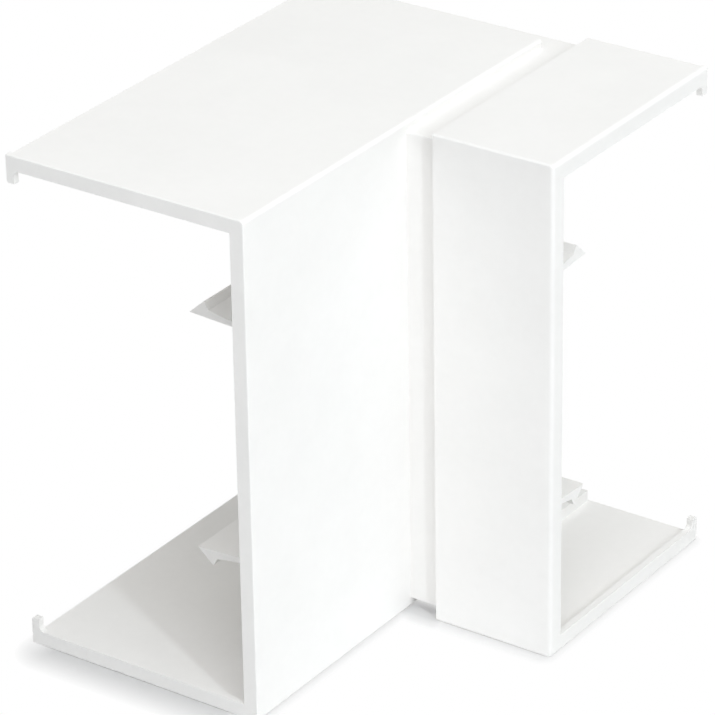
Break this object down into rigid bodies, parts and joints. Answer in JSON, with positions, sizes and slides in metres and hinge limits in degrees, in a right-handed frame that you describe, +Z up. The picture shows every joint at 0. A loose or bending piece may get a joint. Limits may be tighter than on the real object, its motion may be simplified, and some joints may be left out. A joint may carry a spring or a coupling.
{
  "type": "trunking inside corner",
  "caption": "White plastic inside corner hood for wall trunking: two open-backed channel arms at a right angle, parted by a shadow groove, with rimmed ends, hooks and spring clips.",
  "frame": {"origin": "under the middle of the hood's box, on the surface it stands on", "axes": "+Z up along the inside corner, +X out of the right arm's open end, -Y out of the left arm's open end"},
  "size_m": [0.0538, 0.0644, 0.064],
  "materials": {
    "hood": "satin white moulded plastic"
  },
  "bodies": {
    "root": {"inside_corner_hood": "hood"}
  },
  "joints": []
}
